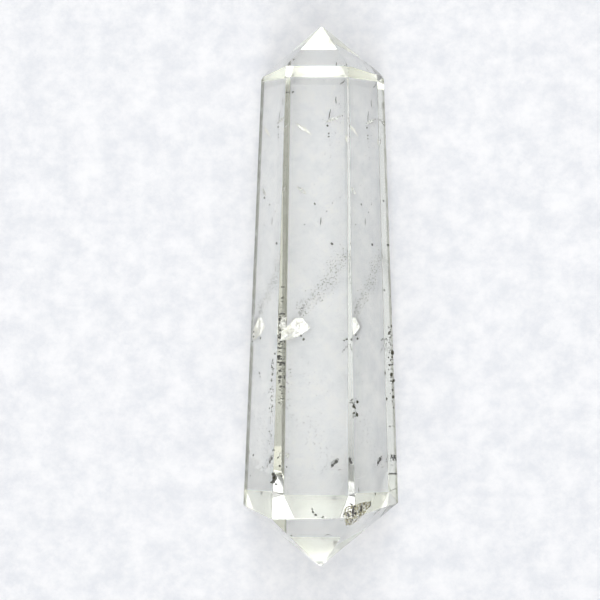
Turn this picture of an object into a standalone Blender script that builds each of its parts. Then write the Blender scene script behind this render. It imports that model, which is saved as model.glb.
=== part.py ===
"""A clear rock crystal point, ground to six long facets and a blunt pyramid at each end.

It lies on one long facet. Metres, +Z up, +Y towards the narrow end. The origin is on the
resting facet's plane, under the middle of the stone.
"""

from math import cos, radians, sin

import bmesh
import bpy
from mathutils import Matrix, Vector

# The stone is worked out in its own frame first: its axis is Y, with y = 0 at the shoulder of
# the wide end, and the facet it will lie on faces -Z. A point's place off the axis is (x, z).
BODY_LENGTH = 0.06495
WIDE_POINT_HEIGHT = 0.00965
NARROW_POINT_HEIGHT = 0.00775
WIDE_POINT_OFF_AXIS = (0.0005, 0.0001)
NARROW_POINT_OFF_AXIS = (0.0002, 0.00035)

# Each long facet: the way it faces round the axis in degrees, from +X towards +Z, and its
# distance from the axis at the wide shoulder and at the narrow one.
LONG_FACETS = {
    "upper": (92.2, 0.0103, 0.0082),
    "upper_right": (32.8, 0.01035, 0.0081),
    "lower_right": (-33.6, 0.01015, 0.0082),
    "resting": (-90.0, 0.0108, 0.00825),
    "lower_left": (-152.1, 0.00955, 0.0078),
    "upper_left": (152.2, 0.01035, 0.00805),
}

# How far each shoulder corner sits along the stone from its shoulder's plane, towards the
# narrow end. A corner is named for the two long facets that meet there, in the order above.
WIDE_SHOULDER_SKEW = (-0.0001, 0.0002, 0.0004, 0.0004, -0.0004, -0.0006)
NARROW_SHOULDER_SKEW = (-0.0002, 0.0001, 0.0002, 0.0003, -0.0001, -0.0001)

# Wear: both points are a little blunt, and some shoulder corners have lost a flake. Each flake
# has the corner's place in the order above and its depth, measured straight into the stone.
WIDE_POINT_WEAR = 0.00022
NARROW_POINT_WEAR = 0.00014
NARROW_FLAKES = ((0, 0.00012), (1, 0.00024), (4, 0.00022))
WIDE_FLAKES = ((0, 0.00015), (4, 0.0001))

# The arrises between facets are polished to a hair's breadth of flat.
ARRIS_WIDTH = 0.00006
BLANK_MARGIN = 0.004
SAME_POINT = 0.000005

QUARTZ_COLOUR = (0.93, 0.94, 0.92, 1.0)
QUARTZ_IOR = 1.544
QUARTZ_ROUGHNESS = 0.02


def facet_ends(name):
    """A long facet's outward direction round the axis, and a point on it at each shoulder."""
    azimuth, wide, narrow = LONG_FACETS[name]
    outward = Vector((cos(radians(azimuth)), 0, sin(radians(azimuth))))
    return outward, outward * wide, outward * narrow + Vector((0, BODY_LENGTH, 0))


def long_facet_plane(name):
    """A point on a long facet and its outward normal, leaning with the taper."""
    outward, wide_point, narrow_point = facet_ends(name)
    along = narrow_point - wide_point
    across = outward.cross(along)
    return wide_point, along.cross(across).normalized()


def corner_between(first, second, skew, at_narrow_end):
    """Where the edge between two long facets reaches a shoulder that is skewed along Y."""
    corners = []
    for end in (1, 2):
        (u, u_point), (v, v_point) = [
            (facet_ends(name)[0], facet_ends(name)[end]) for name in (first, second)
        ]
        u_far, v_far = u.dot(u_point), v.dot(v_point)
        spread = u.x * v.z - u.z * v.x
        x = (u_far * v.z - v_far * u.z) / spread
        z = (v_far * u.x - u_far * v.x) / spread
        corners.append(Vector((x, u_point.y, z)))
    along = skew / BODY_LENGTH + (1 if at_narrow_end else 0)
    return corners[0].lerp(corners[1], along)


def shoulder(skews, at_narrow_end):
    """The six corners of a shoulder, in the order of LONG_FACETS."""
    names = list(LONG_FACETS)
    pairs = zip(names, names[1:] + names[:1])
    return [corner_between(a, b, s, at_narrow_end) for (a, b), s in zip(pairs, skews)]


def grind(stone, point, outward):
    """Takes off what lies beyond a plane and closes the cut with one flat facet."""
    geometry = stone.verts[:] + stone.edges[:] + stone.faces[:]
    cut = bmesh.ops.bisect_plane(
        stone, geom=geometry, dist=1e-8, plane_co=point, plane_no=outward, clear_outer=True
    )
    rim = [e for e in cut["geom_cut"] if isinstance(e, bmesh.types.BMEdge)]
    bmesh.ops.holes_fill(stone, edges=rim)


def grind_point(stone, corners, tip):
    """The six facets of an end, each through the tip and two neighbouring shoulder corners."""
    middle = Vector((0, BODY_LENGTH / 2, 0))
    for first, second in zip(corners, corners[1:] + corners[:1]):
        outward = (second - first).cross(tip - first).normalized()
        if outward.dot(first - middle) < 0:
            outward.negate()
        grind(stone, tip, outward)


def knock_off(stone, corner, depth):
    """Breaks a small flat flake off a corner, facing outwards and a little towards its end."""
    outward = Vector((corner.x, 0, corner.z)).normalized()
    outward.y = 0.8 if corner.y > BODY_LENGTH / 2 else -0.8
    outward.normalize()
    grind(stone, corner - outward * depth, outward)


def rough_blank():
    """A box that holds the whole stone with some to spare on every side."""
    reach = max(wide for _, wide, _ in LONG_FACETS.values()) + BLANK_MARGIN
    length = BODY_LENGTH + WIDE_POINT_HEIGHT + NARROW_POINT_HEIGHT + 2 * BLANK_MARGIN
    middle = (BODY_LENGTH + NARROW_POINT_HEIGHT - WIDE_POINT_HEIGHT) / 2
    size = Matrix.Diagonal((2 * reach, length, 2 * reach, 1))
    blank = bmesh.new()
    bmesh.ops.create_cube(blank, size=1, matrix=Matrix.Translation((0, middle, 0)) @ size)
    return blank


def cut_stone():
    """The whole stone in its own frame, ground out of the blank facet by facet."""
    stone = rough_blank()
    for name in LONG_FACETS:
        grind(stone, *long_facet_plane(name))

    wide_corners = shoulder(WIDE_SHOULDER_SKEW, at_narrow_end=False)
    narrow_corners = shoulder(NARROW_SHOULDER_SKEW, at_narrow_end=True)
    x, z = WIDE_POINT_OFF_AXIS
    wide_tip = Vector((x, -WIDE_POINT_HEIGHT, z))
    x, z = NARROW_POINT_OFF_AXIS
    narrow_tip = Vector((x, BODY_LENGTH + NARROW_POINT_HEIGHT, z))
    grind_point(stone, wide_corners, wide_tip)
    grind_point(stone, narrow_corners, narrow_tip)

    grind(stone, wide_tip + Vector((0, WIDE_POINT_WEAR, 0)), Vector((0, -1, 0)))
    grind(stone, narrow_tip - Vector((0, NARROW_POINT_WEAR, 0)), Vector((0, 1, 0)))
    for place, depth in WIDE_FLAKES:
        knock_off(stone, wide_corners[place], depth)
    for place, depth in NARROW_FLAKES:
        knock_off(stone, narrow_corners[place], depth)
    bmesh.ops.remove_doubles(stone, verts=stone.verts, dist=SAME_POINT)
    bmesh.ops.recalc_face_normals(stone, faces=stone.faces)
    return stone


def lay_down(stone):
    """Turns the stone until its resting facet is level, and sets the origin under its middle."""
    point, outward = long_facet_plane("resting")
    level = outward.rotation_difference(Vector((0, 0, -1))).to_matrix()
    bmesh.ops.rotate(stone, cent=(0, 0, 0), matrix=level, verts=stone.verts)
    xs = [v.co.x for v in stone.verts]
    ys = [v.co.y for v in stone.verts]
    middle = Vector((min(xs) + max(xs), min(ys) + max(ys), 0)) / 2
    middle.z = (level @ point).z
    bmesh.ops.translate(stone, vec=-middle, verts=stone.verts)


def quartz():
    """Clear polished rock crystal."""
    material = bpy.data.materials.new("quartz")
    material.use_nodes = True
    shader = material.node_tree.nodes["Principled BSDF"]
    shader.inputs["Base Color"].default_value = QUARTZ_COLOUR
    shader.inputs["Roughness"].default_value = QUARTZ_ROUGHNESS
    shader.inputs["Metallic"].default_value = 0.0
    shader.inputs["IOR"].default_value = QUARTZ_IOR
    shader.inputs["Transmission Weight"].default_value = 1.0
    return material


def polish_arrises(stone):
    """A hairline flat along every edge between two facets."""
    bevel = stone.modifiers.new("arrises", "BEVEL")
    bevel.width = ARRIS_WIDTH
    bevel.segments = 1
    bevel.limit_method = "ANGLE"
    bevel.angle_limit = radians(8)


def main():
    for leftover in list(bpy.data.objects):
        bpy.data.objects.remove(leftover)
    stone = cut_stone()
    lay_down(stone)
    mesh = bpy.data.meshes.new("quartz_point")
    stone.to_mesh(mesh)
    stone.free()
    mesh.materials.append(quartz())
    quartz_point = bpy.data.objects.new("quartz_point", mesh)
    collection = bpy.data.collections.new("rock_crystal_point")
    bpy.context.scene.collection.children.link(collection)
    collection.objects.link(quartz_point)
    polish_arrises(quartz_point)


main()
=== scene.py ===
import math
import random

import bmesh
import bpy
from mathutils import Euler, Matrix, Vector, noise
from mathutils.bvhtree import BVHTree


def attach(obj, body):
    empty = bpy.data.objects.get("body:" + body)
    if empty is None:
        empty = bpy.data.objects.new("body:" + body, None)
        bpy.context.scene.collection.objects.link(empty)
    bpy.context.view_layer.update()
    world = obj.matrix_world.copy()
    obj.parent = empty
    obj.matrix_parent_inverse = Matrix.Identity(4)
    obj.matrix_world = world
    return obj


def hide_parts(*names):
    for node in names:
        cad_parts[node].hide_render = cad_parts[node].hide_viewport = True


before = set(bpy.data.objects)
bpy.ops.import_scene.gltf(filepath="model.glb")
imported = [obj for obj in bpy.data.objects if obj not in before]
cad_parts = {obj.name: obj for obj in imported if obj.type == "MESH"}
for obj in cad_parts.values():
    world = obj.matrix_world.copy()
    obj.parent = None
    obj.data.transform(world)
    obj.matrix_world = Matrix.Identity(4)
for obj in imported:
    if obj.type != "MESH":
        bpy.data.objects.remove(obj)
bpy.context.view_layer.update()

mm = 0.001

# node settings that come up again and again
multiply = {"operation": "MULTIPLY"}
multiplyAdd = {"operation": "MULTIPLY_ADD"}
subtract = {"operation": "SUBTRACT"}
smooth = {"interpolation_type": "SMOOTHSTEP"}
colourMix = {"data_type": "RGBA"}    # its colours are inputs 6 and 7, its result output 2


def toLinear(hexColour):
    # sRGB hex to linear RGBA
    values = [int(hexColour[i:i + 2], 16) / 255 for i in (1, 3, 5)]
    linear = [v / 12.92 if v <= 0.04045 else ((v + 0.055) / 1.055) ** 2.4 for v in values]
    return (*linear, 1.0)


def addNode(tree, kind, settings=None, inputs=None):
    # an input is a plain value, a socket, or a node, which stands for its first output
    node = tree.nodes.new(kind)
    for name, value in (settings or {}).items():
        setattr(node, name, value)
    for socket, value in (inputs or {}).items():
        if isinstance(value, bpy.types.Node):
            value = value.outputs[0]
        if isinstance(value, bpy.types.NodeSocket):
            tree.links.new(value, node.inputs[socket])
        else:
            node.inputs[socket].default_value = value
    return node


def between(tree, value, low, high, soft):
    # 1 from low to high, with a fade of twice soft centred on each end
    starts, stops = [
        addNode(tree, "ShaderNodeMapRange", smooth,
                {"Value": value, "From Min": end - fade, "From Max": end + fade})
        for end, fade in ((low, soft), (high, -soft))]
    return addNode(tree, "ShaderNodeMath", multiply, {0: starts, 1: stops})


def newMaterial(name):
    material = bpy.data.materials.new(name)
    material.use_nodes = True
    material.node_tree.nodes.clear()
    return material, material.node_tree


def addObject(name, data):
    obj = bpy.data.objects.new(name, data)
    bpy.context.scene.collection.objects.link(obj)
    return obj


def addMesh(name, verts=(), edges=(), faces=()):
    mesh = bpy.data.meshes.new(name)
    mesh.from_pydata(verts, edges, faces)
    return addObject(name, mesh)


# where the photograph was taken from: straight above, about two stone lengths away
camera = {
    "place": (1.974 * mm, 4.136 * mm, 169.848 * mm),
    "turn": (-1.719, 1.913, 0.269),    # degrees
    "lens": 63.08,
    "sensor": 36.0,
    "clip": (0.01, 20.0),
}
cameraData = bpy.data.cameras.new("camera")
cameraData.lens = camera["lens"]
cameraData.sensor_width = camera["sensor"]
cameraData.clip_start, cameraData.clip_end = camera["clip"]
cameraObject = addObject("camera", cameraData)
cameraObject.location = camera["place"]
cameraObject.rotation_euler = Euler([math.radians(a) for a in camera["turn"]], "XYZ")
bpy.context.scene.camera = cameraObject
print("camera set")


# the floor: pale card
card = {
    "half": 0.28,
    "drop": 0.03 * mm,              # paper never touches a polished face all over
    "colours": ("#E2E4E9", "#F5F5F7"),
    "cloud": 4.5,                   # size of the paper's cloudy patches in mm
    "cloudDetail": 9.0,
    "cloudRoughness": 0.74,
    "cloudRange": (0.3, 0.68),      # where the noise turns from one colour to the other
    "fibres": 900.0,                # in a metre: felt more than seen
    "fibreDetail": 3.0,
    "fibreDepth": 0.05 * mm,
    "fibreBump": 0.05,
    "roughness": 0.9,
    "specular": 0.2,
}


def makeFloor():
    half, low = card["half"], -card["drop"]
    corners = [(-half, -half, low), (half, -half, low), (half, half, low), (-half, half, low)]
    floor = addMesh("floor", corners, faces=[(0, 1, 2, 3)])
    # uncoated card: no shine, and a grey that drifts a little from place to place
    material, tree = newMaterial("matt_card")
    coordinates = addNode(tree, "ShaderNodeTexCoord").outputs["Object"]
    fibre = addNode(tree, "ShaderNodeTexNoise", inputs={
        "Vector": coordinates, "Scale": card["fibres"], "Detail": card["fibreDetail"]})
    bump = addNode(tree, "ShaderNodeBump", inputs={
        "Height": fibre, "Strength": card["fibreBump"], "Distance": card["fibreDepth"]})
    clouds = addNode(tree, "ShaderNodeTexNoise", inputs={
        "Vector": coordinates, "Scale": 1 / (card["cloud"] * mm),
        "Detail": card["cloudDetail"], "Roughness": card["cloudRoughness"]})
    start, end = card["cloudRange"]
    spread = addNode(tree, "ShaderNodeMapRange", smooth,
                     {"Value": clouds, "From Min": start, "From Max": end})
    dark, pale = [toLinear(colour) for colour in card["colours"]]
    paper = addNode(tree, "ShaderNodeMix", colourMix, {"Factor": spread, 6: dark, 7: pale})
    shader = addNode(tree, "ShaderNodeBsdfPrincipled", inputs={
        "Base Color": paper.outputs[2], "Normal": bump,
        "Roughness": card["roughness"], "Specular IOR Level": card["specular"]})
    addNode(tree, "ShaderNodeOutputMaterial", inputs={"Surface": shader})
    floor.data.materials.append(material)


# the light: a dim room with soft panels, and long box lamps above in line with the stone
tent = {
    "room": ("#F6F8F8", 0.26),
    # panels: azimuth, half width, lower and upper edge in degrees, colour, level
    "panels": [
        (-90, 28, 20, 34, "#FFFEFF", 2.0),
        (90, 28, 8, 30, "#FFFEFF", 1.5),
        (90, 60, -30, 10, "#FFFFF8", 3.6),
        (-90, 60, -30, 8, "#FFFFF8", 2.3),
        (76, 10, 32, 46, "#FFFFFF", 1.2),
        (138, 20, -12, 18, "#FFF2D8", 0.9),
        (0, 22, -12, 10, "#FFFFE0", 0.7),
        (0, 22, 24, 42, "#FFFFE0", 0.2),
        (180, 24, -12, 12, "#FFFFE8", 0.42),
        (180, 34, 46, 75, "#FCFFFF", 0.5),
        (0, 40, 60, 75, "#FCFFFF", 0.55),
    ],
    "panelEdge": 9,
    # lamps: half width, near and far end, for each unit of height, colour, level
    "lamps": [
        (0.18, -2.2, -0.5, "#FFFEFF", 5.4),
        (0.18, -0.5, 0.5, "#FCFDFF", 2.0),
        (0.18, 0.5, 2.0, "#FCFDFF", 5.0),
    ],
    "lampEdge": 0.1,
    "lowestHeight": 0.02,           # keeps the lamps off the horizon
}


def litColour(colour, level):
    return [c * level for c in toLinear(colour)[:3]] + [1.0]


def makeTent():
    world = bpy.data.worlds.new("tent")
    bpy.context.scene.world = world
    world.use_nodes = True
    tree = world.node_tree
    tree.nodes.clear()
    direction = addNode(tree, "ShaderNodeTexCoord").outputs["Generated"]
    x, y, z = addNode(tree, "ShaderNodeSeparateXYZ", inputs={"Vector": direction}).outputs
    patches = []
    elevation = addNode(tree, "ShaderNodeMath", {"operation": "ARCSINE"}, {0: z})
    for azimuth, halfWidth, low, high, colour, level in tent["panels"]:
        along, across = [
            addNode(tree, "ShaderNodeVectorMath", {"operation": "DOT_PRODUCT"},
                    {0: direction, 1: (math.cos(turn), math.sin(turn), 0)}).outputs["Value"]
            for turn in (math.radians(azimuth), math.radians(azimuth + 90))]
        aside = addNode(tree, "ShaderNodeMath", {"operation": "ARCTAN2"}, {0: across, 1: along})
        width, low, high, soft = [math.radians(angle) for angle in
                                  (halfWidth, low, high, tent["panelEdge"])]
        patches.append((between(tree, aside, -width, width, soft),
                        between(tree, elevation, low, high, soft), litColour(colour, level)))
    height = addNode(tree, "ShaderNodeMath", {"operation": "MAXIMUM"},
                     {0: z, 1: tent["lowestHeight"]})
    across, along = [addNode(tree, "ShaderNodeMath", {"operation": "DIVIDE"}, {0: way, 1: height})
                     for way in (x, y)]
    fade = tent["lampEdge"]
    for halfWidth, near, far, colour, level in tent["lamps"]:
        patches.append((between(tree, across, -halfWidth, halfWidth, fade),
                        between(tree, along, near, far, fade), litColour(colour, level)))
    light = litColour(*tent["room"])
    for inWidth, inLength, colour in patches:
        shown = addNode(tree, "ShaderNodeMath", multiply, {0: inWidth, 1: inLength})
        light = addNode(tree, "ShaderNodeMix", {"data_type": "RGBA", "blend_type": "ADD"},
                        {"Factor": shown, 6: light, 7: colour}).outputs[2]
    glow = addNode(tree, "ShaderNodeBackground", inputs={"Color": light, "Strength": 1.0})
    addNode(tree, "ShaderNodeOutputWorld", inputs={"Surface": glow})


# light crosses the stone many times before it gets out
bounces = {"max_bounces": 28, "transmission_bounces": 28, "transparent_max_bounces": 28,
           "diffuse_bounces": 6, "glossy_bounces": 12}

makeFloor()
makeTent()
scene = bpy.context.scene
scene.view_settings.view_transform = "Standard"
scene.view_settings.look = "None"
for setting, count in bounces.items():
    setattr(scene.cycles, setting, count)
scene.cycles.caustics_refractive = True
scene.cycles.caustics_reflective = True
print("studio ready")


# the stone: natural rock crystal, sawn, ground flat and polished. Lengths are in mm
stone = {
    "ior": 1.544,
    "tint": "#F2F6E2",
    "density": 6.0,
    # where two facets no longer count as one: degrees, and how near two corners are the same
    "sameFacet": 0.2,
    "sameCorner": 0.001,
    # a breath of haze: patch size, the noise it grows over, greatest roughness
    "haze": {"size": 6.25, "detail": 3.0, "range": (0.45, 0.75), "roughness": 0.02},
    # the end facets that face down are only satin: beyond y from and to, and below a height
    "satin": {"from": -31.55, "to": 33.25, "soft": 0.05, "below": 9.0, "fade": 0.5,
              "roughness": 0.16},
    # dark lines of painted shade along the side edges and the resting edge: x at y = 0, slope along
    # y, half width, softness, colour
    "edges": {
        "left": {"x": -10.60, "slope": 0.0345, "half": 0.56, "soft": 0.1, "shadeColour": "#878778"},
        "right": {"x": 10.54, "slope": -0.0387, "half": 0.4, "soft": 0.08, "shadeColour": "#969688"},
        "resting": {"x": -5.26, "slope": 0.0096, "half": 0.085, "soft": 0.035,
                    "shadeColour": "#B8B8A8"},
    },
    # the painted shade keeps to the long facets, and comes and goes in patches, but never quite
    # away
    "body": (-31.65, 33.15, 0.25),
    "shadePatches": {"size": 1.2, "detail": 4.0, "range": (0.28, 0.55), "least": 0.6},
    "restingEdgeHeight": (0.4, 0.2),
    # by the bright feather the painted shade on the left edge nearly fades out
    "fadeByFeather": {"span": (-7.6, -3.0, 0.6), "less": 0.75},
}


def polishedQuartz():
    # rock crystal, ground and polished: clear as glass, with dark lines of painted shade along its
    # edges
    material, tree = newMaterial("polished_quartz")
    coordinates = addNode(tree, "ShaderNodeTexCoord").outputs["Object"]
    inMm = addNode(tree, "ShaderNodeVectorMath", {"operation": "SCALE"},
                   {0: coordinates, "Scale": 1 / mm})
    x, y, z = addNode(tree, "ShaderNodeSeparateXYZ", inputs={"Vector": inMm}).outputs

    haze, satin = stone["haze"], stone["satin"]
    clouds = addNode(tree, "ShaderNodeTexNoise", inputs={
        "Vector": coordinates, "Scale": 1 / (haze["size"] * mm), "Detail": haze["detail"]})
    hazy = addNode(tree, "ShaderNodeMapRange", inputs={
        "Value": clouds, "From Min": haze["range"][0], "From Max": haze["range"][1],
        "To Max": haze["roughness"]})
    body = between(tree, y, satin["from"], satin["to"], satin["soft"])
    beyond = addNode(tree, "ShaderNodeMath", subtract, {0: 1.0, 1: body})
    low = addNode(tree, "ShaderNodeMapRange", smooth, {
        "Value": z, "From Min": satin["below"] + satin["fade"],
        "From Max": satin["below"] - satin["fade"], "To Max": satin["roughness"]})
    roughness = addNode(tree, "ShaderNodeMath", multiplyAdd, {0: beyond, 1: low, 2: hazy})

    # painted shade along the edges: its patches, where it fades by the feather, and the resting
    # edge darkest near the floor
    shadePatchForm, fadeByFeather = stone["shadePatches"], stone["fadeByFeather"]
    breaks = addNode(tree, "ShaderNodeTexNoise", inputs={
        "Vector": coordinates, "Scale": 1 / (shadePatchForm["size"] * mm), "Detail": shadePatchForm["detail"]})
    shadePatches = addNode(tree, "ShaderNodeMapRange", smooth, {
        "Value": breaks, "From Min": shadePatchForm["range"][0], "From Max": shadePatchForm["range"][1],
        "To Min": shadePatchForm["least"]})
    onBody = between(tree, y, *stone["body"])
    byFeather = between(tree, y, *fadeByFeather["span"])
    shadeKept = addNode(tree, "ShaderNodeMath", multiplyAdd, {0: byFeather, 1: -fadeByFeather["less"], 2: 1.0})
    top, bottom = stone["restingEdgeHeight"]
    onFloor = addNode(tree, "ShaderNodeMapRange", smooth,
                      {"Value": z, "From Min": top, "From Max": bottom})
    masks = {"left": (onBody, shadePatches, shadeKept), "right": (onBody, shadePatches), "resting": (onBody, onFloor)}
    colour = (1, 1, 1, 1)
    # each edge's dark line of painted shade is mixed into the colour
    for side, edge in stone["edges"].items():
        line = addNode(tree, "ShaderNodeMath", multiplyAdd, {0: y, 1: edge["slope"], 2: edge["x"]})
        aside = addNode(tree, "ShaderNodeMath", subtract, {0: x, 1: line})
        shown = between(tree, aside, -edge["half"], edge["half"], edge["soft"])
        for mask in masks[side]:
            shown = addNode(tree, "ShaderNodeMath", multiply, {0: shown, 1: mask})
        colour = addNode(tree, "ShaderNodeMix", colourMix,
                         {"Factor": shown, 6: colour, 7: toLinear(edge["shadeColour"])}).outputs[2]

    shader = addNode(tree, "ShaderNodeBsdfPrincipled", inputs={
        "Base Color": colour, "Roughness": roughness, "IOR": stone["ior"],
        "Transmission Weight": 1.0})
    inside = addNode(tree, "ShaderNodeVolumeAbsorption", inputs={
        "Color": toLinear(stone["tint"]), "Density": stone["density"]})
    addNode(tree, "ShaderNodeOutputMaterial", inputs={"Surface": shader, "Volume": inside})
    return material


def makeStone():
    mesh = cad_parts["quartz_point"].data.copy()
    mesh.name = "rock_crystal_point"
    work = bmesh.new()
    work.from_mesh(mesh)
    bmesh.ops.remove_doubles(work, verts=work.verts, dist=stone["sameCorner"] * mm)
    bmesh.ops.dissolve_limit(work, angle_limit=math.radians(stone["sameFacet"]),
                             verts=work.verts, edges=work.edges)
    work.to_mesh(mesh)
    work.free()
    mesh.materials.clear()
    mesh.materials.append(polishedQuartz())
    mesh.shade_flat()
    obj = addObject("rock_crystal_point", mesh)
    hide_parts("quartz_point")
    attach(obj, "root")
    return obj


stonePiece = makeStone()
stoneSurface = BVHTree.FromPolygons([v.co.copy() for v in stonePiece.data.vertices],
                                    [tuple(p.vertices) for p in stonePiece.data.polygons])
print("stone made:", len(stonePiece.data.polygons), "faces")


# What is inside the stone. A place is x, y, z in mm from the frame's origin, and a z below
# nought is a depth under the upper surface
wellAbove = 50 * mm                 # higher than the stone


def underTop(x, y, depth):
    hit = stoneSurface.ray_cast(Vector((x * mm, y * mm, wellAbove)), Vector((0, 0, -1)))[0]
    return hit - Vector((0, 0, depth * mm))


def insidePoint(place):
    x, y, z = place
    return Vector((x, y, z)) * mm if z > 0 else underTop(x, y, -z)


def keepPlain(source, name, material):
    # the finished shape as a plain mesh: the source goes, and its modifier with it
    mesh = bpy.data.meshes.new_from_object(
        source.evaluated_get(bpy.context.evaluated_depsgraph_get()))
    mesh.name = name
    bpy.data.objects.remove(source)
    mesh.materials.clear()
    mesh.materials.append(material)
    obj = addObject(name, mesh)
    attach(obj, "root")
    print("made", obj.name, len(obj.data.polygons), "faces,", material.name)


def startTree(name, inputs):
    tree = bpy.data.node_groups.new(name, "GeometryNodeTree")
    for label, kind in {"Geometry": "Geometry", **inputs}.items():
        tree.interface.new_socket(label, in_out="INPUT", socket_type="NodeSocket" + kind)
    tree.interface.new_socket("Geometry", in_out="OUTPUT", socket_type="NodeSocketGeometry")
    return tree, addNode(tree, "NodeGroupInput").outputs


def endTree(tree, geometry, material):
    real = addNode(tree, "GeometryNodeRealizeInstances", inputs={"Geometry": geometry})
    done = addNode(tree, "GeometryNodeSetMaterial", inputs={"Geometry": real, "Material": material})
    addNode(tree, "NodeGroupOutput", inputs={"Geometry": done})
    return tree


def runTree(name, obj, tree, settings, material):
    modifier = obj.modifiers.new("build", "NODES")
    modifier.node_group = tree
    for item in tree.interface.items_tree:
        if item.in_out == "INPUT" and item.name in settings:
            modifier[item.identifier] = settings[item.name]
    keepPlain(obj, name, material)


# a grain's sides for each unit of its size, and how far it can be turned, in radians
grainForm = {"shortest": 0.35, "longest": 1.0, "turn": 6.28}


def grainTree(material):
    # an uneven grain on every point, sized by the attribute grainSize
    tree, given = startTree("grains", {"Longest Side": "Float", "Seed": "Int"})
    vectors = {"data_type": "FLOAT_VECTOR"}
    grain = addNode(tree, "GeometryNodeMeshIcoSphere", inputs={"Radius": 1.0, "Subdivisions": 1})
    size = addNode(tree, "GeometryNodeInputNamedAttribute", {"data_type": "FLOAT"},
                   {"Name": "grainSize"})
    longest = addNode(tree, "ShaderNodeCombineXYZ",
                      inputs={axis: given["Longest Side"] for axis in "XYZ"})
    shape = addNode(tree, "FunctionNodeRandomValue", vectors,
                    {0: [grainForm["shortest"]] * 3, 1: longest, "Seed": given["Seed"]})
    turn = addNode(tree, "FunctionNodeRandomValue", vectors,
                   {0: (0, 0, 0), 1: [grainForm["turn"]] * 3, "Seed": given["Seed"]})
    scale = addNode(tree, "ShaderNodeVectorMath", {"operation": "SCALE"},
                    {0: shape, "Scale": size})
    placed = addNode(tree, "GeometryNodeInstanceOnPoints", inputs={
        "Points": given["Geometry"], "Instance": grain, "Rotation": turn, "Scale": scale})
    return endTree(tree, placed, material)


def growGrains(name, grains, material, seed):
    # grains: point and size in mm for each
    points = addMesh(name + "_points", [place for place, size in grains])
    sizes = points.data.attributes.new("grainSize", "FLOAT", "POINT")
    for i, (place, size) in enumerate(grains):
        sizes.data[i].value = size * mm
    runTree(name, points, grainTree(material),
            {"Longest Side": grainForm["longest"], "Seed": seed}, material)


# threads: points between two places, sides, size and reach of the wobble in mm, and how far
# into the hump of a sine a thread starts and ends, which makes its ends thin
threadForm = {"steps": 6, "sides": 6, "wave": 0.6, "wobble": 0.05, "ends": (0.1, 0.9)}


def threadTree(material):
    # a thread along every chain of edges, thinner towards its ends
    tree, given = startTree("threads", {"Radius": "Float"})
    line = addNode(tree, "GeometryNodeMeshToCurve", inputs={"Mesh": given["Geometry"]})
    along = addNode(tree, "GeometryNodeSplineParameter").outputs["Factor"]
    start, end = [math.pi * part for part in threadForm["ends"]]
    onHump = addNode(tree, "ShaderNodeMath", multiplyAdd, {0: along, 1: end - start, 2: start})
    hump = addNode(tree, "ShaderNodeMath", {"operation": "SINE"}, {0: onHump})
    radius = addNode(tree, "ShaderNodeMath", multiply, {0: hump, 1: given["Radius"]})
    profile = addNode(tree, "GeometryNodeCurvePrimitiveCircle",
                      inputs={"Resolution": threadForm["sides"], "Radius": 1.0})
    tube = addNode(tree, "GeometryNodeCurveToMesh", inputs={
        "Curve": line, "Profile Curve": profile, "Scale": radius, "Fill Caps": True})
    return endTree(tree, tube, material)


def drawThreads(name, lines, radius, material):
    # lines: lists of places. Each line has a wobble of its own
    steps = threadForm["steps"]
    verts, edges = [], []
    for n, line in enumerate(lines):
        for i, (a, b) in enumerate(zip(line, line[1:])):
            start, end = insidePoint(a), insidePoint(b)
            isLast = i == len(line) - 2
            for k in range(steps + isLast):
                point = start.lerp(end, k / steps)
                where = point / (threadForm["wave"] * mm) + Vector((n, 0, 0))
                if i or k:
                    edges.append((len(verts) - 1, len(verts)))
                verts.append(point + noise.noise_vector(where) * threadForm["wobble"] * mm)
    runTree(name, addMesh(name + "_lines", verts, edges), threadTree(material),
            {"Radius": radius * mm}, material)


# sheets: how often they are cut finer, thickness in mm, and the folds' noise: how much rougher
# and how much finer each octave is, and how many. The rim is ragged at half the folds' size
sheetForm = {"rounds": 4, "thickness": 0.02, "roughness": 0.8, "finer": 2.1, "octaves": 4,
             "ragged": 0.5}


def crumpledSheet(name, outline, crumple, grain, material):
    # a thin closed sheet across an outline of places, folded and with a ragged edge
    work = bmesh.new()
    corners = [work.verts.new(insidePoint(place)) for place in outline]
    middle = work.verts.new(sum((v.co for v in corners), Vector()) / len(corners))
    for a, b in zip(corners, corners[1:] + corners[:1]):
        work.faces.new((a, b, middle))
    for _ in range(sheetForm["rounds"]):
        bmesh.ops.subdivide_edges(work, edges=work.edges[:], cuts=1, use_grid_fill=True)
    bmesh.ops.triangulate(work, faces=work.faces[:])
    work.normal_update()
    ragged = sheetForm["ragged"]
    for vert in work.verts:
        fold = noise.fractal(vert.co / (grain * mm), sheetForm["roughness"], sheetForm["finer"],
                             sheetForm["octaves"]) * crumple * mm
        shift = Vector()
        if vert.is_boundary:
            shift = noise.noise_vector(vert.co / (ragged * grain * mm)) * (ragged * crumple * mm)
        vert.co = vert.co + Vector((shift.x, shift.y, fold))
    bmesh.ops.recalc_face_normals(work, faces=work.faces[:])
    flat = addMesh(name + "_flat")
    work.to_mesh(flat.data)
    work.free()
    skin = flat.modifiers.new("thickness", "SOLIDIFY")
    skin.thickness = sheetForm["thickness"] * mm
    skin.offset = 0
    skin.use_even_offset = False
    keepPlain(flat, name, material)


# flaky finishes: the noise that runs through the colours, holes, relief in mm
patchForm = {"range": (0.36, 0.62), "detail": 4.0, "roughness": 0.6,
             "holeSize": 0.7, "holeDetail": 5.0, "holeRoughness": 0.65,
             "bump": 0.6, "relief": 0.05}


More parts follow.
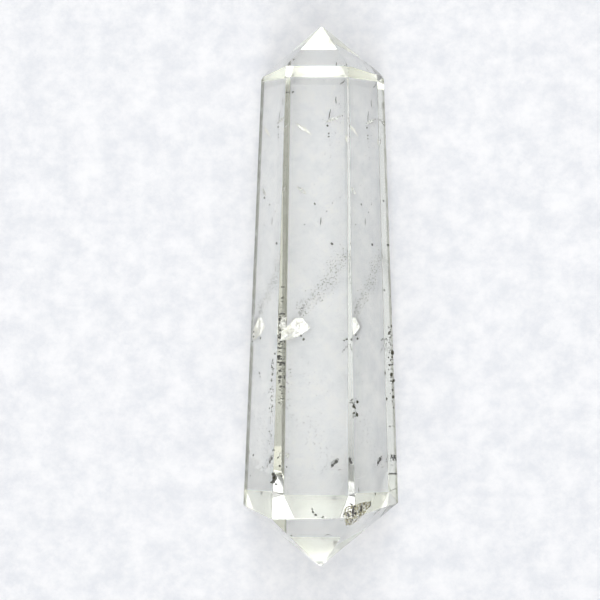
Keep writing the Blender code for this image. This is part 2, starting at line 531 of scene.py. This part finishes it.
def patchyMaterial(name, colours, patch, cover, roughness, metallic=0.0, softEdge=0.06):
    # patch is in mm. The more cover, the fewer and smaller the holes
    material, tree = newMaterial(name)
    coordinates = addNode(tree, "ShaderNodeTexCoord").outputs["Object"]
    clouds = addNode(tree, "ShaderNodeTexNoise", inputs={
        "Vector": coordinates, "Scale": 1 / (patch * mm),
        "Detail": patchForm["detail"], "Roughness": patchForm["roughness"]})
    ramp = addNode(tree, "ShaderNodeValToRGB", inputs={"Fac": clouds})
    stops = ramp.color_ramp.elements
    stops.remove(stops[1])
    first, last = patchForm["range"]
    stops[0].position, stops[0].color = first, toLinear(colours[0])
    for i, colour in enumerate(colours[1:], 1):
        stops.new(first + (last - first) * i / (len(colours) - 1)).color = toLinear(colour)
    holes = addNode(tree, "ShaderNodeTexNoise", inputs={
        "Vector": coordinates, "Scale": 1 / (patchForm["holeSize"] * patch * mm),
        "Detail": patchForm["holeDetail"], "Roughness": patchForm["holeRoughness"]})
    shown = addNode(tree, "ShaderNodeMapRange", smooth, {
        "Value": holes, "From Min": 0.5 - cover - softEdge, "From Max": 0.5 - cover + softEdge})
    bump = addNode(tree, "ShaderNodeBump", inputs={
        "Height": clouds, "Strength": patchForm["bump"], "Distance": patchForm["relief"] * mm})
    shader = addNode(tree, "ShaderNodeBsdfPrincipled", inputs={
        "Base Color": ramp, "Alpha": shown, "Normal": bump,
        "Roughness": roughness, "Metallic": metallic})
    addNode(tree, "ShaderNodeOutputMaterial", inputs={"Surface": shader})
    return material


# an opened crack is a thin film of air: silvery white where it throws the light back
airFilm = patchyMaterial("air_film_in_crack", ["#FFFFFF", "#F6F5EE", "#FFFFFF"],
                         0.9, 0.14, 0.3, metallic=1.0)
# a healed crack keeps only a faint milky skin
milkySkin = patchyMaterial("healed_crack_skin", ["#FFFFFF", "#FFFFFA"],
                           0.5, 0.04, 0.4, metallic=0.8, softEdge=0.15)
# cracks painted dark olive grey, brown where it is thin: a painted reflection of the dark
# surroundings, which the real cracks throw back
paintedDarkCrack = patchyMaterial("crack_painted_dark", ["#4A483C", "#7E7A6C", "#9A968A"],
                           0.22, -0.09, 0.8, softEdge=0.12)
# chlorite and iron grains: matt, nearly black green and brown
darkGrains = patchyMaterial("dark_mineral_grains", ["#1C1E14", "#33301F", "#4C4C38"],
                            0.3, 0.6, 0.7)
# bubbles too small to see one by one, which read as an olive-grey veil
bubbleVeil = patchyMaterial("bubble_veil", ["#5C6248", "#7A7E68"], 0.3, 0.6, 0.6)
# limonite soaked into a crack: pale olive yellow, brown where it is thick
ironStain = patchyMaterial("iron_stain", ["#6A5526", "#D8D19A", "#BFB478", "#E9E4BC"],
                           0.45, -0.01, 0.7, softEdge=0.1)
# the same where it has filled the crack: nearly black, and matt as rust
ironThick = patchyMaterial("thick_iron_stain", ["#120C03", "#241A0A", "#4A3E26"], 0.4, 0.6, 0.75)
print("finishes ready")


feathers = {
    "bright_feather": {
        "outline": [(-6.2, -7.5, 2.6), (-4.6, -7.3, 2.0), (-2.9, -6.5, 1.5), (-1.6, -5.5, 1.1),
                    (-2.2, -4.7, 1.0), (-2.8, -4.0, 0.9), (-3.9, -4.0, 1.0), (-4.8, -5.0, 1.3),
                    (-6.0, -6.0, 2.1)],
        "crumple": 0.16, "grain": 1.2, "material": airFilm},
    "feather_wisp_left": {
        "outline": [(-4.1, 26.3, 0.5), (-3.2, 25.8, 0.35), (-2.4, 25.4, 0.3), (-1.4, 24.2, 0.3),
                    (-2.5, 24.9, 0.3), (-3.3, 25.2, 0.3)],
        "crumple": 0.12, "grain": 0.7, "material": airFilm},
    "feather_wisp_right": {
        "outline": [(0.4, 26.3, 0.3), (1.4, 26.9, 0.4), (3.1, 27.4, 0.4), (2.5, 26.8, 0.3),
                    (1.3, 26.4, 0.3)],
        "crumple": 0.1, "grain": 0.7, "material": milkySkin},
    "feather_wisp_edge": {
        "outline": [(3.7, 24.4, 0.4), (4.1, 24.1, 0.5), (4.0, 23.2, 0.4), (3.6, 23.6, 0.3)],
        "crumple": 0.1, "grain": 0.6, "material": airFilm},
    "feather_wisp_low": {
        "outline": [(-3.9, 16.4, 0.3), (-3.2, 16.3, 0.3), (-2.4, 15.6, 0.25), (-2.3, 15.1, 0.25),
                    (-3.1, 15.4, 0.25)],
        "crumple": 0.1, "grain": 0.6, "material": milkySkin},
    "feather_wisp_wide_end": {
        "outline": [(-5.3, -25.0, 0.5), (-4.7, -25.2, 0.4), (-4.8, -25.9, 0.4), (-5.2, -25.7, 0.5)],
        "crumple": 0.1, "grain": 0.5, "material": milkySkin},
    # dark cracks: their colour is a painted reflection of the dark surroundings
    "dark_crack_patch": {
        "outline": [(-3.3, -3.9, 0.5), (-2.7, -3.2, 0.5), (-2.3, -1.9, 0.4), (-2.9, -2.2, 0.4),
                    (-3.4, -3.1, 0.4)],
        "crumple": 0.12, "grain": 0.6, "material": paintedDarkCrack},
    "dark_crack_blob": {
        "outline": [(1.7, -27.4, 0.4), (2.5, -26.7, 0.4), (3.1, -25.9, 0.4), (2.7, -25.8, 0.4),
                    (1.8, -26.4, 0.4)],
        "crumple": 0.15, "grain": 0.6, "material": paintedDarkCrack},
}
for name, feather in feathers.items():
    crumpledSheet(name, feather["outline"], feather["crumple"], feather["grain"],
                  feather["material"])

stain = {
    "outline": [(3.5, -29.9, -0.5), (4.6, -29.6, -0.6), (6.0, -29.5, -0.6), (7.3, -29.8, -0.5),
                (7.3, -30.2, -0.4), (6.0, -31.4, -0.4), (5.3, -32.1, -0.4), (4.6, -32.7, -0.4),
                (3.7, -32.5, -0.6), (3.5, -31.3, -0.7)],
    "crumple": 0.12,
    "grain": 0.8,
    "bars": [[(4.75, -29.8, -0.35), (4.72, -30.4, -0.3), (4.75, -30.95, -0.3)],
             [(5.85, -29.7, -0.35), (5.8, -30.3, -0.3), (5.86, -30.9, -0.3)]],
    "barRadius": 0.2,
    "threads": [[(7.2, -29.9, -0.3), (7.25, -30.3, -0.3), (6.9, -30.7, -0.25)],
                [(5.8, -31.0, -0.2), (5.4, -31.5, -0.2), (5.1, -31.9, -0.2), (4.7, -32.6, -0.2)],
                [(4.0, -30.6, -0.3), (4.15, -31.0, -0.3)],
                [(4.2, -29.3, -0.3), (4.7, -29.5, -0.3)]],
    "threadRadius": 0.1,
    # crumbs: x, y, spread across and along, how many
    "crumbs": [(4.0, -30.8, 0.35, 0.3, 20), (5.1, -30.4, 0.5, 0.4, 14),
               (6.5, -30.1, 0.5, 0.3, 20), (4.4, -31.9, 0.5, 0.5, 10)],
    "crumbDepth": 0.35,
    "crumbSizes": (0.08, 0.2),
}
crumpledSheet("iron_stain_patch", stain["outline"], stain["crumple"], stain["grain"], ironStain)
drawThreads("iron_stain_bars", stain["bars"], stain["barRadius"], ironThick)
drawThreads("iron_stain_threads", stain["threads"], stain["threadRadius"], ironThick)
scatter = random.Random(3)
crumbs = []
for x, y, wide, tall, count in stain["crumbs"]:
    for _ in range(count):
        place = underTop(scatter.gauss(x, wide), scatter.gauss(y, tall), stain["crumbDepth"])
        crumbs.append((place, scatter.uniform(*stain["crumbSizes"])))
growGrains("iron_stain_crumbs", crumbs, ironThick, seed=5)

# single grains: x, y, z, size. They are swollen a little to show at this scale
specks = {
    "swell": 1.8,
    "grains": [
        (-4.5, 31.0, 0.3, 0.14), (3.2, 27.3, 0.3, 0.14), (0.9, 25.8, 0.3, 0.12),
        (1.1, 24.6, 0.3, 0.1), (1.1, 24.1, 0.3, 0.1), (-8.6, 14.7, -0.3, 0.14),
        (-1.0, 13.7, 0.3, 0.13), (1.7, 7.5, 0.3, 0.16), (-6.3, 5.5, 2.4, 0.12),
        (-6.3, -4.6, 2.4, 0.06), (-6.3, -8.2, 2.4, 0.08), (-5.5, -8.2, 1.2, 0.07),
        (9.3, 0.9, -0.3, 0.12), (-2.6, -7.35, 0.5, 0.17), (-3.0, -6.8, 0.5, 0.1),
        (-2.0, -5.4, 0.5, 0.11), (3.7, -7.5, 0.4, 0.13), (4.1, -7.3, 0.5, 0.13),
        (10.35, -0.1, -0.2, 0.12), (10.5, -1.9, -0.2, 0.13), (10.5, -2.5, -0.2, 0.11),
        (10.5, -4.6, -0.2, 0.16), (10.2, -5.6, -0.2, 0.16), (10.6, -6.0, -0.2, 0.13),
        (10.3, -6.3, -0.2, 0.15), (10.1, -7.0, -0.2, 0.11), (-10.2, -5.5, -0.2, 0.11),
        (-10.2, -6.2, -0.2, 0.13), (-10.4, -7.0, -0.2, 0.12), (-9.1, -11.5, -0.3, 0.13),
        (-9.0, -12.0, -0.3, 0.12), (-10.0, -23.8, -0.3, 0.14), (-10.5, -27.0, -0.3, 0.13),
        (-6.7, -22.0, -0.3, 0.14), (-6.05, -23.0, -0.3, 0.14), (-5.8, -24.2, -0.3, 0.13),
        (-4.8, -24.3, -0.3, 0.14), (-5.5, -25.6, -0.3, 0.17), (-6.7, -25.4, -0.3, 0.2),
        (-6.5, -25.9, -0.3, 0.28), (-6.6, -26.4, -0.3, 0.24), (-6.9, -26.6, -0.3, 0.18),
        (-6.3, -26.8, -0.3, 0.13), (4.6, -26.2, 1.2, 0.14), (4.6, -26.6, 1.2, 0.12),
        (8.0, -28.9, -0.3, 0.14), (7.2, -29.9, -0.3, 0.15), (-1.1, -30.2, -0.25, 0.13),
        (-1.0, -30.6, -0.2, 0.17), (-0.6, -31.0, -0.2, 0.17), (0.4, -31.3, -0.2, 0.16),
        (0.2, -35.4, -0.2, 0.12), (0.6, -35.4, -0.2, 0.12), (10.7, -8.6, -0.15, 0.36),
        (10.5, -11.9, -0.15, 0.3), (10.85, -12.9, -0.1, 0.22), (10.8, -15.3, -0.15, 0.24),
        (9.75, -15.4, -0.2, 0.18), (9.5, -11.5, -0.2, 0.17), (10.05, -9.3, -0.2, 0.15),
        (10.2, -10.4, -0.2, 0.18), (4.75, -15.6, -0.15, 0.24), (5.2, -15.0, -0.2, 0.2),
        (5.15, -16.8, -0.2, 0.22), (4.75, -16.5, -0.15, 0.18), (-6.6, -8.2, -0.1, 0.1),
        (-6.9, -9.6, -0.1, 0.1), (-7.0, -16.5, -0.1, 0.13), (-7.0, -15.0, -0.1, 0.1),
        (2.0, -26.9, 0.5, 0.2), (2.6, -26.3, 0.5, 0.2), (2.3, -26.6, 0.5, 0.18),
        (-4.2, -34.8, -0.2, 0.12),
    ],
}
growGrains("dark_specks", [(insidePoint((x, y, z)), size * specks["swell"])
                           for x, y, z, size in specks["grains"]], darkGrains, seed=4)

# trails of fine grains: from, to, half width in mm, how many, smallest and largest
trails = {
    "across": 0.45,                 # how far a grain usually strays, in half widths
    "along": 0.3,
    "runs": [
        ((-6.95, -9.0, -0.12), (-7.2, -21.5, -0.12), 0.35, 80, 0.08, 0.17),
        ((-4.9, -11.5, 0.3), (-4.7, -18.0, 0.3), 0.5, 18, 0.06, 0.11),
        ((10.1, -4.5, -0.2), (10.6, -12.5, -0.2), 0.45, 60, 0.08, 0.26),
        ((10.6, -12.5, -0.2), (10.9, -20.0, -0.2), 0.3, 34, 0.08, 0.22),
        ((4.6, -14.5, -0.2), (5.0, -17.0, -0.25), 0.4, 24, 0.08, 0.22),
        ((-9.3, -26.0, -0.3), (-7.0, -24.0, -0.3), 0.8, 22, 0.06, 0.13),
        ((3.6, -9.3, 0.4), (4.3, -8.0, 0.4), 0.3, 12, 0.06, 0.12),
        ((-3.0, 10.0, 0.3), (2.0, 14.0, 0.3), 2.0, 10, 0.05, 0.09),
        ((-3.5, -18.0, 0.3), (3.5, -28.0, 0.3), 3.2, 110, 0.04, 0.085),
        ((-4.0, -12.0, 0.3), (4.0, -17.0, 0.3), 3.0, 40, 0.04, 0.075),
        ((-1.0, 16.0, 0.3), (3.0, 29.0, 0.3), 2.0, 26, 0.04, 0.08),
    ],
}
pick = random.Random(7)
grains = []
for start, end, spread, count, small, large in trails["runs"]:
    for _ in range(count):
        t, aside = pick.random(), pick.gauss(0, trails["across"]) * spread
        x = start[0] + (end[0] - start[0]) * t + aside
        y = start[1] + (end[1] - start[1]) * t + pick.gauss(0, trails["along"]) * spread
        z = start[2] + (end[2] - start[2]) * t
        grains.append((insidePoint((x, y, z)), pick.uniform(small, large)))
growGrains("dark_grain_trails", grains, darkGrains, seed=9)

# the veil: two ragged ribbons of bubbles that cross just above the resting facet
veil = {
    "corners": [(-3.4, -3.2), (0.7, 1.0), (4.2, 6.4)],
    "count": 420,
    "spread": 1.6,                  # half width of a ribbon
    "across": 0.5,                  # how far a bubble usually strays, in half widths
    "lean": (0.75, -0.65),          # the way across a ribbon
    "facetHalf": 4.6,               # none are made past the facet's edges
    "height": 0.3,
    "depth": 0.2,
    "sizes": (0.045, 0.1),
}
bubbles = []
for _ in range(veil["count"]):
    ribbon, t = divmod(pick.random() * 2, 1)
    start, end = veil["corners"][int(ribbon):int(ribbon) + 2]
    aside = pick.gauss(0, veil["across"]) * veil["spread"]
    x, y = [start[i] + (end[i] - start[i]) * t + aside * veil["lean"][i] for i in (0, 1)]
    if abs(x) < veil["facetHalf"]:
        place = (x, y, veil["height"] + veil["depth"] * pick.random())
        bubbles.append((insidePoint(place), pick.uniform(*veil["sizes"])))
growGrains("bubble_veil", bubbles, bubbleVeil, seed=12)

threads = {
    "lines": [[(2.8, 32.2, 0.3), (3.3, 32.5, 0.3), (3.6, 32.9, 0.4)],
              [(2.2, 30.3, 0.3), (2.2, 29.1, 0.3)],
              [(1.1, 26.7, 0.3), (1.2, 27.5, 0.3), (1.4, 28.4, 0.3)],
              [(0.0, 11.6, 0.3), (-0.1, 10.4, 0.3)],
              [(5.4, -27.2, -0.3), (5.5, -28.0, -0.3)],
              [(0.6, -34.8, -0.2), (1.1, -34.5, -0.2), (1.7, -34.7, -0.2)],
              [(-6.3, -28.0, -0.3), (-5.2, -28.1, -0.3)]],
    "radius": 0.065,
}
drawThreads("dark_threads", threads["lines"], threads["radius"], darkGrains)
